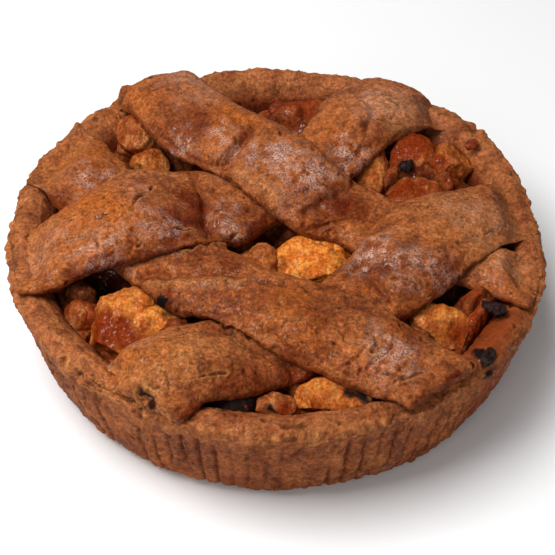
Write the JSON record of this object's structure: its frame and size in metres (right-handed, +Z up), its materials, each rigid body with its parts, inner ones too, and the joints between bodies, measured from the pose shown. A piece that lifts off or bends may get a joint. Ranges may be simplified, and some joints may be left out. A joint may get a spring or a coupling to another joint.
{
  "type": "lattice apple pie",
  "caption": "Round baked apple pie with a fluted pastry cup, a wide woven pastry lattice, and apple chunks and raisins showing in the openings.",
  "frame": {"origin": "centre of the pie's flat underside, under the middle of its box", "axes": "+Z up out of the lattice, -Y towards the side that the picture shows in front, +X to the right in the picture"},
  "size_m": [0.1587, 0.159, 0.0487],
  "materials": {
    "crust": "matte baked wholemeal shortcrust, browned",
    "strip": "browned pastry with a thin uneven glaze",
    "filling": "moist caramelised apple filling",
    "apple": "moist baked apple, glazed",
    "raisin": "dark wrinkled raisin"
  },
  "bodies": {
    "root": {"crust": "crust", "filling": "filling", "strip_down_back": "strip", "strip_up_back": "strip", "strip_down_front": "strip", "strip_up_front": "strip", "apple_middle": "apple", "apple_middle_brown": "apple", "apple_left": "apple", "apple_left_low": "apple", "apple_back_left": "apple", "apple_back_left_low": "apple", "apple_back_right": "apple", "apple_glazed": "apple", "apple_beside_glazed": "apple", "apple_back_right_low": "apple", "apple_right": "apple", "apple_front": "apple", "apple_front_burnt": "apple", "apple_front_small": "apple", "raisin_back_left": "raisin", "raisin_back_right": "raisin", "raisin_glazed": "raisin", "raisin_rim": "raisin", "raisin_burnt": "raisin", "raisin_corner": "raisin"}
  },
  "joints": []
}
